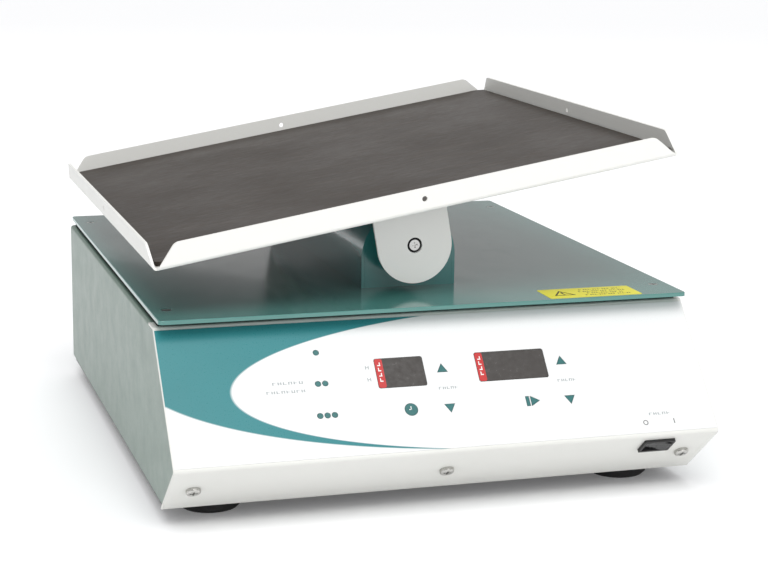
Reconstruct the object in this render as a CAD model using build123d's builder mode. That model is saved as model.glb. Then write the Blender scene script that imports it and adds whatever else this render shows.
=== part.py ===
"""Digital rocking platform mixer: a tray that tips end to end on a shaft over a sheet metal case.

Millimetres. X runs along the front, Y from front to back, Z up; the origin is on the bench,
under the middle of the lid.
"""
from build123d import *
from math import cos, hypot, radians, sin
import os

os.makedirs("parts", exist_ok=True)

# driving dimensions
body_width = 351.0
lid_depth = 370.0
lid_thickness = 2.5
lid_top = 125.0             # height of the lid's upper face above the bench
lid_corner = 3.0
lid_edge_break = 0.4
lid_gap = 4.0               # gasket thickness between the lid and the case
lid_overhang = 12.0         # how far the lid stands past the top of the front face
lid_back_overhang = 3.0
lid_side_inset = 1.5        # from the side panels' outer faces to the lid's edges
sheet = 1.5
bend = 2.5                  # outer bend radius of the case sheet
nose_forward = 52.0         # how far the fold of the front stands before the lid
nose_height = 45.7
lip_return = 42.5           # how far the lip runs back under the fold
lip_bottom = 10.0
case_bottom = 12.5          # underside of the side panels
base_thickness = 2.0
flange = 14.0               # depth of the case's inward folds
tuck = 0.5                  # gap between folds that meet at a corner
foot_radius = 20.0
foot_inset_x = 36.5         # from the side panel's outer face to a foot's middle
foot_inset_y = 22.5         # from the lid's edge to a foot's middle

tilt = 10.0                 # tray angle at rest, right end up
pivot_rise = 31.4           # rocker shaft above the lid
tray_width = 347.0
tray_depth = 366.0
tray_sheet = 1.5
tray_rim = 15.2             # outer height of the tray's rims
tray_rise = 28.8            # tray underside above the shaft's axis
rim_hole_radius = 1.75
mat_thickness = 3.0
mat_clearance = 1.2
bracket_width = 50.0
bracket_sheet = 2.0
ear_hole_radius = 5.0
ear_inset = 40.0            # from the lid's edge to an ear's outer face
shaft_radius = 5.0
shaft_end_radius = 3.5
running = 0.05              # radial clearance of every turning pin or shaft
end_play = 0.5              # side clearance of every turning pin or shaft
seat = 0.03                 # radial clearance of parts that are set on a shaft or in a hole
tapped = 0.1                # radial clearance of a screw in its thread
free = 0.25                 # radial clearance of a screw in a plain hole

pedestal_width = 64.0
pedestal_offset = 3.0       # the pedestal stands to the link's side of the shaft
pedestal_inset = 62.0       # from the lid's edge to an end plate's outer face
pedestal_crown = 11.4       # the shaft's height over the middle of the half-round top
pedestal_sheet = 2.0
pedestal_foot = 6.0
plate_thickness = 3.0

arm_radius = 18.0           # both the lever and the motor arm
arm_thickness = 6.0
motor_axis_height = 62.5
link_width = 10.0
link_thickness = 6.0
link_eye_radius = 7.0
pin_radius = 3.0
link_bush_radius = 4.5
gearbox_radius = 28.0
gearbox_length = 36.0
motor_radius = 26.0
motor_length = 64.0
output_radius = 4.0

window_height = 20.0
timer_window_width = 31.0
speed_window_width = 46.0
window_row = 56.0           # up the face from the fold to the windows' middle
key_row_low = 30.2
key_row_high = 56.2
program_row_top = 73.0
program_row_middle = 51.7
timer_window_x = -26.2
speed_window_x = 47.0
timer_keys_x = 1.0
clock_key_x = -24.2
speed_keys_x = 80.7
start_key_x = 55.6
program_keys_x = -77.4
overlay_thickness = 0.4
key_gap = 0.3
key_travel = 0.5
board_depth = 14.0          # from the face's outer side to the control board
board_thickness = 1.6

switch_x = 137.0
switch_down = 13.5          # down the lip from the fold to the switch's middle
bezel_width = 21.0
bezel_height = 15.0
bezel_thickness = 2.0
lip_screw_pitch = 160.0
lid_screw_inset_x = 10.2
lid_screw_inset_y = 29.5

# places worked out from them
lid_width = body_width - 2 * lid_side_inset
pedestal_shoulder = pivot_rise - pedestal_crown      # height where the half-round top starts
half_body = body_width / 2
half_lid = lid_depth / 2
lid_under = lid_top - lid_thickness
case_top = lid_under - lid_gap
back_y = half_lid - lid_back_overhang
base_under = case_bottom - base_thickness
face_top = (-half_lid + lid_overhang, case_top)
nose = (-half_lid - nose_forward, nose_height)
lip_end = (nose[0] + lip_return, lip_bottom)
face_length = hypot(face_top[0] - nose[0], face_top[1] - nose[1])
lip_length = hypot(lip_end[0] - nose[0], lip_end[1] - nose[1])
face_up = ((face_top[0] - nose[0]) / face_length, (face_top[1] - nose[1]) / face_length)
lip_down = ((lip_end[0] - nose[0]) / lip_length, (lip_end[1] - nose[1]) / lip_length)
face_plane = Plane(origin=(0, *nose), x_dir=(1, 0, 0), z_dir=(0, -face_up[1], face_up[0]))
lip_plane = Plane(origin=(0, *nose), x_dir=(1, 0, 0), z_dir=(0, lip_down[1], -lip_down[0]))
flange_start = face_top[0] + flange + tuck      # where the side panels' top folds begin
foot_places = [
    (x, y)
    for x in (-half_body + foot_inset_x, half_body - foot_inset_x)
    for y in (-half_lid + foot_inset_y, half_lid - foot_inset_y)
]
lid_screw_x = lid_width / 2 - lid_screw_inset_x
lid_screw_y = half_lid - lid_screw_inset_y

pivot_height = lid_top + pivot_rise
up = (-sin(radians(tilt)), 0, cos(radians(tilt)))
along = (cos(radians(tilt)), 0, sin(radians(tilt)))
pivot = (0, 0, pivot_height)
tray_plane = Plane(origin=pivot, x_dir=along, z_dir=up)
ear_outer_y = half_lid - ear_inset
ear_inner_y = ear_outer_y - bracket_sheet
plate_outer_y = half_lid - pedestal_inset
plate_inner_y = plate_outer_y - plate_thickness
half_pedestal = pedestal_width / 2
bush_flange = 2.0
bush_wall = 2.0
bush_radius = shaft_radius + bush_wall
bush_flange_radius = bush_radius + bush_flange
hub_inner_y = plate_outer_y + bush_flange + end_play
link_y = arm_thickness / 2 + end_play           # near side of the connecting link
link_length = pivot_height - motor_axis_height


def keep(part, name):
    """Label a finished piece and write it under its own name."""
    part.label = name
    export_step(part, f"parts/{name}.step")


def tilted(height, y):
    """A plane square to the shaft at y, turned with the tray; its y axis runs up the tray."""
    return Plane(origin=(0, y, height), x_dir=along, z_dir=(0, -1, 0))


def upright(y):
    """A plane square to the shaft at y, facing the front."""
    return Plane(origin=(0, y, 0), x_dir=(1, 0, 0), z_dir=(0, -1, 0))


# case
def panel_strip():
    """The front panel's folded section: top fold, sloping face and returned lip."""
    with BuildLine() as fold:
        FilletPolyline((face_top[0] + flange, case_top), face_top, nose, lip_end, radius=bend)
        offset(amount=sheet, side=Side.LEFT, closed=True)
    return make_face(fold.line.edges(), mode=Mode.PRIVATE)


triangle_side = 6.2
dot_radius = 1.7
dot_pitch = 4.6
clock_radius = 4.0
bar_width = 2.0
bar_height = 6.4
bar_gap = 1.2               # between the bar and the arrow of the start and stop key
window_corner = 1.5


def dots(count, grow):
    """A row of round dots."""
    with GridLocations(dot_pitch, 1, count, 1):
        Circle(dot_radius + grow)


def arrow(turn, grow):
    """A triangle that points the way turn says, in degrees from up."""
    RegularPolygon(triangle_side / 3 ** 0.5 + 2 * grow, 3, rotation=90 + turn)


def clock(grow):
    """The round clock key."""
    Circle(clock_radius + grow)


def start_stop(grow):
    """A bar and an arrow to the right, centred as one sign."""
    reach = triangle_side * 3 ** 0.5 / 2
    left = -(bar_width + bar_gap + reach) / 2
    with Locations((left + bar_width / 2, 0)):
        Rectangle(bar_width + 2 * grow, bar_height + 2 * grow)
    with Locations((left + bar_width + bar_gap + reach / 3, 0)):
        arrow(-90, grow)


keys = {
    "key_program_1": (program_keys_x, program_row_top, lambda grow: dots(1, grow)),
    "key_program_2": (program_keys_x, program_row_middle, lambda grow: dots(2, grow)),
    "key_program_3": (program_keys_x, key_row_low, lambda grow: dots(3, grow)),
    "key_timer_up": (timer_keys_x, key_row_high, lambda grow: arrow(0, grow)),
    "key_timer_down": (timer_keys_x, key_row_low, lambda grow: arrow(180, grow)),
    "key_clock": (clock_key_x, key_row_low, lambda grow: clock(grow)),
    "key_speed_up": (speed_keys_x, key_row_high, lambda grow: arrow(0, grow)),
    "key_speed_down": (speed_keys_x, key_row_low, lambda grow: arrow(180, grow)),
    "key_start_stop": (start_key_x, key_row_low, lambda grow: start_stop(grow)),
}
windows = {
    "timer": (timer_window_x, timer_window_width),
    "speed": (speed_window_x, speed_window_width),
}


def face_openings(grow):
    """The outlines cut through the face for the keys and the windows."""
    for x, row, symbol in keys.values():
        with Locations((x, row)):
            symbol(grow)
    for x, width in windows.values():
        with Locations((x, window_row)):
            RectangleRounded(width + 2 * grow, window_height + 2 * grow, window_corner)


lip_screw_radius = 2.5
lid_screw_radius = 1.5
switch_body_width = 19.0
switch_body_height = 13.0
with BuildPart() as front_panel:
    with BuildSketch(Plane.YZ.offset(-half_body)):
        add(panel_strip())
    extrude(amount=body_width)
    with BuildSketch(face_plane):
        face_openings(key_gap)
    extrude(amount=2 * sheet, both=True, mode=Mode.SUBTRACT)
    with BuildSketch(lip_plane):
        with Locations((0, -lip_length / 2)):
            with GridLocations(lip_screw_pitch, 1, 3, 1):
                Circle(lip_screw_radius + free)
        with Locations((switch_x, -switch_down)):
            Rectangle(switch_body_width + key_gap, switch_body_height + key_gap)
    extrude(amount=2 * sheet, both=True, mode=Mode.SUBTRACT)
keep(front_panel.part, "front_panel")

overlay_edge = 0.6
with BuildPart() as panel_overlay:
    with BuildSketch(face_plane):
        with Locations((0, face_length / 2)):
            Rectangle(body_width - 2 * overlay_edge, face_length - 2 * bend)
        with BuildSketch(mode=Mode.SUBTRACT):
            face_openings(key_gap)
    extrude(amount=overlay_thickness)
keep(panel_overlay.part, "panel_overlay")


case_screw_radius = 2.0
base_screw_x = half_body - sheet - flange / 2
base_screw_y = 120.0
back_screw_x = half_body - sheet - flange / 2
back_screw_inset = 8.0      # from a side panel's top or bottom fold to a back screw
back_screw_heights = (
    case_bottom + flange + back_screw_inset,
    case_top - flange - back_screw_inset,
)
side_inner = half_body - sheet
side_edge = half_body - flange
lip_slope = lip_down[0] / -lip_down[1]      # how far back the lip runs for each millimetre down
with BuildSketch(Plane.YZ.offset(side_edge)) as side_outline:
    with BuildLine():
        Polyline(
            (back_y, case_bottom),
            (lip_end[0] - (case_bottom - lip_bottom) * lip_slope, case_bottom),
            nose,
            face_top,
            (back_y, case_top),
            close=True,
        )
    make_face()
    add(panel_strip(), mode=Mode.SUBTRACT)
side_face = side_outline.sketch.faces().sort_by(SortBy.AREA)[-1]
with BuildPart() as right_side_panel:
    with BuildSketch(Plane.XZ.offset(-back_y)):
        with BuildLine():
            FilletPolyline(
                (side_edge, case_top),
                (half_body, case_top),
                (half_body, case_bottom),
                (side_edge, case_bottom),
                radius=bend,
            )
            offset(amount=sheet, side=Side.RIGHT, closed=True)
        make_face()
    extrude(amount=back_y - nose[0])
    extrude(side_face, amount=flange, dir=(1, 0, 0), mode=Mode.INTERSECT)
    for y0, y1 in ((nose[0], flange_start), (back_y - sheet - tuck, back_y)):
        with BuildSketch(Plane.XY.offset(case_bottom)):
            with Locations(((side_edge + side_inner) / 2, (y0 + y1) / 2)):
                Rectangle(side_inner - side_edge, y1 - y0)
        extrude(amount=case_top - case_bottom, mode=Mode.SUBTRACT)
    with BuildSketch(upright(back_y - sheet)):
        with Locations(((side_edge + side_inner) / 2, (case_top + case_bottom) / 2)):
            Rectangle(side_inner - side_edge + tuck, case_top - case_bottom - 2 * flange)
    extrude(amount=sheet)
    with BuildSketch(Plane.XY.offset(case_top)):
        with Locations((lid_screw_x, -lid_screw_y), (lid_screw_x, lid_screw_y)):
            Circle(lid_screw_radius + tapped)
    extrude(amount=-flange / 2, mode=Mode.SUBTRACT)
    with BuildSketch(Plane.XY.offset(case_bottom)):
        with Locations((base_screw_x, -base_screw_y), (base_screw_x, base_screw_y)):
            Circle(case_screw_radius + tapped)
    extrude(amount=flange / 2, mode=Mode.SUBTRACT)
    with BuildSketch(upright(back_y - sheet)):
        with Locations(*[(back_screw_x, z) for z in back_screw_heights]):
            Circle(case_screw_radius + tapped)
    extrude(amount=flange / 2, mode=Mode.SUBTRACT)
keep(right_side_panel.part, "right_side_panel")
keep(right_side_panel.part.mirror(Plane.YZ), "left_side_panel")

inlet_x = 118.0
inlet_height = 46.0
inlet_width = 27.4
inlet_tall = 31.0
with BuildPart() as back_panel:
    with BuildSketch(Plane.XY.offset(case_bottom + tuck)):
        with Locations((0, back_y - sheet / 2)):
            Rectangle(body_width - 2 * sheet - 2 * key_gap, sheet)
    extrude(amount=case_top - case_bottom - tuck)
    with BuildSketch(Plane.XY.offset(case_top - sheet)):
        with Locations((0, back_y - flange / 2)):
            Rectangle(body_width - 2 * sheet - 2 * flange - 4 * tuck, flange)
    extrude(amount=sheet)
    with BuildSketch(upright(back_y)):
        with Locations((inlet_x, inlet_height)):
            Rectangle(inlet_width, inlet_tall)
        with Locations(*[(s * back_screw_x, z) for s in (-1, 1) for z in back_screw_heights]):
            Circle(case_screw_radius + free)
    extrude(amount=2 * sheet, mode=Mode.SUBTRACT)
keep(back_panel.part, "back_panel")

stiffener = 40.0            # height of the base plate's front fold, along the lip
base_clear = 0.2
foot_screw_radius = 2.5
bracket_screw_x = 30.0
bracket_screw_y = (-50.0, -22.0)
supply_place = (-95.0, 60.0)
supply_size = (98.0, 129.0, 38.0)
supply_ear = 8.0            # the supply's fixing flange at each end
supply_screw = (supply_size[0] / 2 - supply_ear, (supply_size[1] + supply_ear) / 2)
driver_place = (110.0, 70.0)
driver_size = (90.0, 110.0)
driver_rise = 8.0
driver_pitch = (80.0, 100.0)
driver_post_radius = 3.5    # across the corners of a hexagonal post
driver_pin_radius = 1.9     # the snap pin on top of a post
driver_pin_rise = 1.0       # how far the pin stands past the board
switch_room = (4.0, 12.0)   # how much wider and taller than the switch its hole in the base fold is
driver_height = case_bottom + driver_rise
with BuildPart() as base_plate:
    with BuildSketch(Plane.YZ.offset(-half_body + sheet + base_clear)):
        fold_inset = sheet + base_clear + base_thickness
        corner_y = nose[0] + (nose[1] - case_bottom) * lip_slope + fold_inset / -lip_down[1]
        with BuildLine():
            FilletPolyline(
                (corner_y - stiffener * lip_down[0], case_bottom - stiffener * lip_down[1]),
                (corner_y, case_bottom),
                (back_y - sheet, case_bottom),
                radius=bend,
            )
            offset(amount=base_thickness, side=Side.RIGHT, closed=True)
        make_face()
    extrude(amount=body_width - 2 * sheet - 2 * base_clear)
    with BuildSketch(Plane.XY.offset(base_under)):
        with Locations(*foot_places):
            Circle(foot_screw_radius + tapped)
        with Locations(*[(sx * base_screw_x, sy * base_screw_y) for sx in (-1, 1) for sy in (-1, 1)]):
            Circle(case_screw_radius + free)
        with Locations(*[(sx * bracket_screw_x, y) for sx in (-1, 1) for y in bracket_screw_y]):
            Circle(case_screw_radius + tapped)
        with Locations(supply_place):
            with GridLocations(2 * supply_screw[0], 2 * supply_screw[1], 2, 2):
                Circle(case_screw_radius + tapped)
    extrude(amount=base_thickness, mode=Mode.SUBTRACT)
    with BuildSketch(lip_plane):
        with Locations((0, -lip_length / 2)):
            with GridLocations(lip_screw_pitch, 1, 3, 1):
                Circle(lip_screw_radius + tapped)
        with Locations((switch_x, -switch_down)):
            Rectangle(switch_body_width + switch_room[0], switch_body_height + switch_room[1])
    extrude(amount=-3 * bend, mode=Mode.SUBTRACT)
    with BuildSketch(Plane.XY.offset(case_bottom)):
        with Locations(driver_place):
            with GridLocations(*driver_pitch, 2, 2):
                RegularPolygon(driver_post_radius, 6)
    extrude(amount=driver_rise)
    with BuildSketch(Plane.XY.offset(driver_height)):
        with Locations(driver_place):
            with GridLocations(*driver_pitch, 2, 2):
                Circle(driver_pin_radius)
    extrude(amount=board_thickness + driver_pin_rise)
keep(base_plate.part, "base_plate")


# lid
gasket_width = 6.0
gasket_inset = 2.0
lid_screw_head = 3.25
lid_screw_cone = 1.75
lid_screw_length = 12.0
lid_screw_sink = 0.1        # a head's face below the lid's
slot_width = 16.0
slot_length = 13.0
pin_x = arm_radius * cos(radians(tilt))
slot_y = link_y + link_thickness / 2
pedestal_screw_radius = 2.0
pedestal_screw_x = half_pedestal - pedestal_sheet - pedestal_foot / 2
pedestal_screw_pitch = 95.0
plate_foot = 12.0
plate_screw_x = 14.0
plate_screw_y = plate_inner_y - plate_foot / 2
rail_screws = [
    (pedestal_offset + side * pedestal_screw_x, row * pedestal_screw_pitch)
    for side in (-1, 1)
    for row in (-1, 0, 1)
]
plate_screws = [
    (pedestal_offset + sx * plate_screw_x, sy * plate_screw_y) for sx in (-1, 1) for sy in (-1, 1)
]


def lid_screw_places():
    """The four corners where the lid is screwed down."""
    return GridLocations(2 * lid_screw_x, 2 * lid_screw_y, 2, 2)


with BuildPart() as lid:
    with BuildSketch(Plane.XY.offset(lid_under)):
        RectangleRounded(lid_width, lid_depth, lid_corner)
    extrude(amount=lid_thickness)
    chamfer(lid.edges().filter_by_position(Axis.Z, lid_top, lid_top), lid_edge_break)
    with BuildSketch(Plane.XY.offset(lid_under)):
        with Locations((pin_x, slot_y)):
            RectangleRounded(slot_width, slot_length, slot_width / 5)
        with Locations(*rail_screws, *plate_screws):
            Circle(pedestal_screw_radius + tapped)
    extrude(amount=lid_thickness, mode=Mode.SUBTRACT)
    with Locations(Plane.XY.offset(lid_top)):
        with lid_screw_places():
            CounterSinkHole(lid_screw_radius + tapped, lid_screw_head + tapped, lid_thickness)
keep(lid.part, "lid")

with BuildPart() as lid_gasket:
    gasket_x = lid_width / 2 - gasket_inset
    gasket_front = face_top[0] + bend
    gasket_back = back_y - bend
    with BuildSketch(Plane.XY.offset(case_top)):
        with Locations((0, (gasket_front + gasket_back) / 2)):
            Rectangle(2 * gasket_x, gasket_back - gasket_front)
            Rectangle(
                2 * (gasket_x - gasket_width),
                gasket_back - gasket_front - 2 * gasket_width,
                mode=Mode.SUBTRACT,
            )
    extrude(amount=lid_gap)
keep(lid_gasket.part, "lid_gasket")


def cross_recess(head_radius):
    """The outline of a driver's cross in a screw's head."""
    arms = 1.1 * head_radius
    Rectangle(arms, head_radius / 5)
    Rectangle(head_radius / 5, arms)


lid_recess_depth = 1.2
with BuildPart() as one_lid_screw:
    with BuildSketch(Plane.XZ):
        with BuildLine():
            Polyline(
                (0, lid_top - lid_screw_sink),
                (lid_screw_head, lid_top - lid_screw_sink),
                (lid_screw_radius, lid_top - lid_screw_cone),
                (lid_screw_radius, lid_top - lid_screw_length),
                (0, lid_top - lid_screw_length),
                close=True,
            )
        make_face()
    revolve(axis=Axis.Z)
    with BuildSketch(Plane.XY.offset(lid_top - lid_screw_sink)):
        cross_recess(lid_screw_head)
    extrude(amount=-lid_recess_depth, mode=Mode.SUBTRACT)
with BuildPart() as lid_screws:
    with lid_screw_places():
        add(one_lid_screw.part)
keep(lid_screws.part, "lid_screws")


# fasteners and feet of the case
def pan_screws(name, places, radius, length, head_radius, head_height):
    """Pan head screws, one solid at each place; a place's z axis points out of the head."""
    with BuildPart() as one:
        Cylinder(head_radius, head_height, align=(Align.CENTER, Align.CENTER, Align.MIN))
        fillet(one.edges().filter_by_position(Axis.Z, head_height, head_height), 0.45 * head_height)
        Cylinder(radius, length, align=(Align.CENTER, Align.CENTER, Align.MAX))
        with BuildSketch(Plane.XY.offset(head_height)):
            cross_recess(head_radius)
        extrude(amount=-0.6 * head_height, mode=Mode.SUBTRACT)
    with BuildPart() as screws:
        with Locations(*places):
            add(one.part)
    keep(screws.part, name)


def on(plane, x, y, lift=0.0):
    """A location on a plane at x and y, lifted along its normal."""
    return plane.offset(lift).location * Location((x, y, 0))


def under(x, y, z):
    """A location that faces straight down."""
    return Location((x, y, z), (180, 0, 0))


lip_screw_length = 10.0
lip_head_radius = 4.6
lip_head_height = 2.6
pan_screws(
    "lip_screws",
    [on(lip_plane, x, -lip_length / 2) for x in (-lip_screw_pitch, 0, lip_screw_pitch)],
    lip_screw_radius, lip_screw_length, lip_head_radius, lip_head_height,
)
foot_recess = 8.0
foot_floor = 5.0
foot_bevel = 2.0
foot_round = 0.8
foot_screw_length = 14.0
foot_head_radius = 4.8
foot_head_height = 2.8
with BuildPart() as feet:
    with BuildSketch(Plane.XZ) as half_foot:
        with BuildLine():
            Polyline(
                (foot_screw_radius + tapped, base_under),
                (foot_radius, base_under),
                (foot_radius, foot_bevel),
                (foot_radius - foot_bevel, 0),
                (foot_recess, 0),
                (foot_recess, foot_floor),
                (foot_screw_radius + tapped, foot_floor),
                close=True,
            )
        make_face()
        fillet(half_foot.vertices().sort_by(Axis.X)[-2:], foot_round)
    one_foot = revolve(half_foot.sketch, Axis.Z, mode=Mode.PRIVATE)
    with Locations(*foot_places):
        add(one_foot)
keep(feet.part, "feet")
pan_screws(
    "foot_screws",
    [under(x, y, foot_floor) for x, y in foot_places],
    foot_screw_radius, foot_screw_length, foot_head_radius, foot_head_height,
)

# keypad, windows and board
window_depth = 1.0
sight_gap = 1.0
display_margin = 3.0
key_plate = (15.0, 10.0)            # the backing plate that keeps a key in its opening
key_plate_corner = 1.0
key_plate_thickness = 1.2
key_plate_gap = 0.4                 # behind the face sheet
key_stem_radius = 1.5
plate_top = -sheet - key_plate_gap
plate_under = plate_top - key_plate_thickness
tact_height = 3.5
tact_side = 6.0
plunger_height = 1.3
plunger_radius = 1.75
board_front = -board_depth
plunger_tip = board_front + tact_height + plunger_height
stem_gap = 0.1                      # between a stem at full travel and its switch
stem_tip = plunger_tip + key_travel + stem_gap
board_size = (188.0, 70.0)
board_middle = 52.0
board_screw_pitch = (178.0, 60.0)
processor_place = (-30.0, -10.0)    # from the board's middle, on its back
processor_side = 14.0
driver_chip_places = ((20.0, 8.0), (60.0, 8.0))
driver_chip = (18.0, 7.5)
socket_places = ((-60.0, 0.0), (60.0, -16.0))
board_socket = (22.0, 9.0)
chip_height = 4.0
spacer_radius = 3.5
for name, (x, row, symbol) in keys.items():
    with BuildPart() as key:
        with BuildSketch(face_plane.offset(plate_under)):
            with Locations((x, row)):
                RectangleRounded(*key_plate, key_plate_corner)
        extrude(amount=key_plate_thickness)
        with BuildSketch(face_plane.offset(plate_top)):
            with Locations((x, row)):
                symbol(0)
        extrude(amount=overlay_thickness - plate_top)
        with BuildSketch(face_plane.offset(stem_tip)):
            with Locations((x, row)):
                Circle(key_stem_radius)
        extrude(amount=plate_under - stem_tip)
    keep(key.part, name)

for name, (x, width) in windows.items():
    with BuildPart() as window:
        with BuildSketch(face_plane.offset(-window_depth)):
            with Locations((x, window_row)):
                RectangleRounded(width, window_height, window_corner)
        extrude(amount=window_depth + overlay_thickness)
    keep(window.part, f"{name}_window")

with BuildPart() as displays:
    with BuildSketch(face_plane.offset(board_front)):
        for x, width in windows.values():
            with Locations((x, window_row)):
                Rectangle(width - 2 * display_margin, window_height - display_margin)
    extrude(amount=board_depth - window_depth - sight_gap)
keep(displays.part, "displays")

with BuildPart() as control_board:
    with BuildSketch(face_plane.offset(board_front)):
        with Locations((0, board_middle)):
            Rectangle(*board_size)
            with GridLocations(*board_screw_pitch, 2, 2):
                Circle(case_screw_radius + free, mode=Mode.SUBTRACT)
    extrude(amount=-board_thickness)
    with BuildSketch(face_plane.offset(board_front - board_thickness)):
        with Locations((0, board_middle)):
            with Locations(processor_place):
                Rectangle(processor_side, processor_side)
            with Locations(*driver_chip_places):
                Rectangle(*driver_chip)
            with Locations(*socket_places):
                Rectangle(*board_socket)
    extrude(amount=-chip_height)
keep(control_board.part, "control_board")

with BuildPart() as board_spacers:
    with BuildSketch(face_plane.offset(board_front)):
        with Locations((0, board_middle)):
            with GridLocations(*board_screw_pitch, 2, 2):
                RegularPolygon(spacer_radius, 6)
                Circle(case_screw_radius + tapped, mode=Mode.SUBTRACT)
    extrude(amount=board_depth - sheet)
keep(board_spacers.part, "board_spacers")
with BuildPart() as tact_switches:
    for x, row, _ in keys.values():
        with BuildSketch(face_plane.offset(board_front)):
            with Locations((x, row)):
                Rectangle(tact_side, tact_side)
        extrude(amount=tact_height)
        with BuildSketch(face_plane.offset(board_front + tact_height)):
            with Locations((x, row)):
                Circle(plunger_radius)
        extrude(amount=plunger_height)
keep(tact_switches.part, "tact_switches")

# power switch in the lip
rocker_tip = 8.4
rocker_half_depth = 5.2
rocker_pivot_lift = -1.0            # pivot below the lip's outer face
cavity_half = 8.9
cavity_half_depth = 5.5
cavity_floor = -7.0
pin_tip = 6.2
trunnion_radius = 1.0
switch_depth = 17.0
switch_corner = 1.0
rocker_heel = (5.5, 3.0)            # half width and depth of the rocker's underside
rocker_crest = 2.6                  # height of its two ends over its pivot
rocker_dip = 2.0                    # height of its middle
tab_pitch = 8.0
tab_section = (0.8, 4.8)
tab_length = 8.0
switch_place = lip_plane.location * Location((switch_x, -switch_down, 0))
switch_plane = Plane(switch_place)
rocker_rest = 10.0                  # the "off" end is pressed in at rest
rocker_plane = Plane(
    switch_place * Location((0, 0, rocker_pivot_lift)) * Location((0, 0, 0), (90, 0, 0))
    * Location((0, 0, 0), (0, 0, rocker_rest))
)
with BuildPart() as power_switch:
    with BuildSketch(switch_plane.offset(-switch_depth)):
        Rectangle(switch_body_width, switch_body_height)
    extrude(amount=switch_depth)
    with BuildSketch(switch_plane):
        RectangleRounded(bezel_width, bezel_height, switch_corner)
    extrude(amount=bezel_thickness)
    with BuildSketch(switch_plane.offset(cavity_floor)):
        Rectangle(2 * cavity_half, 2 * cavity_half_depth)
    extrude(amount=bezel_thickness - cavity_floor, mode=Mode.SUBTRACT)
    with BuildSketch(rocker_plane):
        Circle(trunnion_radius + running)
    extrude(amount=pin_tip + tapped, both=True, mode=Mode.SUBTRACT)
    with BuildSketch(switch_plane.offset(-switch_depth)):
        with GridLocations(tab_pitch, 1, 2, 1):
            Rectangle(*tab_section)
    extrude(amount=-tab_length)
keep(power_switch.part, "power_switch")

with BuildPart() as power_rocker:
    with BuildSketch(rocker_plane):
        with BuildLine():
            Polyline(
                (-rocker_heel[0], -rocker_heel[1]),
                (rocker_heel[0], -rocker_heel[1]),
                (rocker_tip, rocker_crest),
                (0, rocker_dip),
                (-rocker_tip, rocker_crest),
                close=True,
            )
        make_face()
    extrude(amount=rocker_half_depth, both=True)
    with BuildSketch(rocker_plane):
        Circle(trunnion_radius)
    extrude(amount=pin_tip, both=True)
keep(power_rocker.part, "power_rocker")

# mains inlet at the back
inlet_flange = (32.0, 35.0)
inlet_flange_thickness = 2.5
inlet_depth = 24.0
inlet_corner = 1.5
inlet_play = 0.2                    # round the body in the panel's hole
socket_chamfer = 4.0
blade_side = 7.0                    # a live blade from the socket's middle
blade_step = 2.0                    # the earth blade up from the middle, the others down
blade_section = (2.0, 4.0)
blade_recess = 3.0                  # a blade's tip inside the flange's face
inlet_tab_pitch = (9.0, 14.0)
inlet_tab = (4.8, 0.8)
socket_width = 24.4
socket_tall = 17.0
socket_drop = -5.6
socket_depth = 16.5
drawer_width = 21.0
drawer_tall = 6.4
drawer_rise = 10.0
drawer_length = 18.0
drawer_gap = 0.35
inlet_plane = Plane(origin=(inlet_x, back_y, inlet_height), x_dir=(-1, 0, 0), z_dir=(0, 1, 0))
with BuildPart() as mains_inlet:
    with BuildSketch(inlet_plane.offset(-inlet_depth)):
        Rectangle(inlet_width - 2 * inlet_play, inlet_tall - 2 * inlet_play)
    extrude(amount=inlet_depth)
    with BuildSketch(inlet_plane):
        RectangleRounded(*inlet_flange, inlet_corner)
    extrude(amount=inlet_flange_thickness)
    with BuildSketch(inlet_plane.offset(inlet_flange_thickness)):
        with Locations((0, socket_drop)):
            socket = Rectangle(socket_width, socket_tall)
        chamfer(socket.vertices().sort_by(Axis.Z)[:2], socket_chamfer)
    extrude(amount=-socket_depth, mode=Mode.SUBTRACT)
    with BuildSketch(inlet_plane.offset(inlet_flange_thickness)):
        with Locations((0, drawer_rise)):
            Rectangle(drawer_width + 2 * drawer_gap, drawer_tall + 2 * drawer_gap)
    extrude(amount=-drawer_length - drawer_gap, mode=Mode.SUBTRACT)
    with BuildSketch(inlet_plane.offset(inlet_flange_thickness - socket_depth)):
        with Locations(
            (-blade_side, socket_drop - blade_step),
            (blade_side, socket_drop - blade_step),
            (0, socket_drop + blade_step),
        ):
            Rectangle(*blade_section)
    extrude(amount=socket_depth - blade_recess)
    with BuildSketch(inlet_plane.offset(-inlet_depth)):
        with GridLocations(*inlet_tab_pitch, 3, 2):
            Rectangle(*inlet_tab)
    extrude(amount=-tab_length)
keep(mains_inlet.part, "mains_inlet")

grip_size = (8.0, 3.0)
grip_corner = 0.8
grip_height = 1.5
drawer_face = 4.0                   # solid front of the drawer before the fuses' well
drawer_end = 2.0
drawer_wall = 1.5
drawer_floor = 1.2
well_length = drawer_length - drawer_face - drawer_end
with BuildPart() as fuse_drawer:
    with BuildSketch(inlet_plane.offset(inlet_flange_thickness - drawer_length)):
        with Locations((0, drawer_rise)):
            Rectangle(drawer_width, drawer_tall)
    extrude(amount=drawer_length)
    with BuildSketch(inlet_plane.offset(inlet_flange_thickness)):
        with Locations((0, drawer_rise)):
            RectangleRounded(*grip_size, grip_corner)
    extrude(amount=grip_height)
    with BuildSketch(inlet_plane.offset(inlet_flange_thickness - drawer_face)):
        with Locations((0, drawer_rise + drawer_floor / 2)):
            Rectangle(drawer_width - 2 * drawer_wall, drawer_tall - drawer_floor)
    extrude(amount=-well_length, mode=Mode.SUBTRACT)
keep(fuse_drawer.part, "fuse_drawer")

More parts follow.
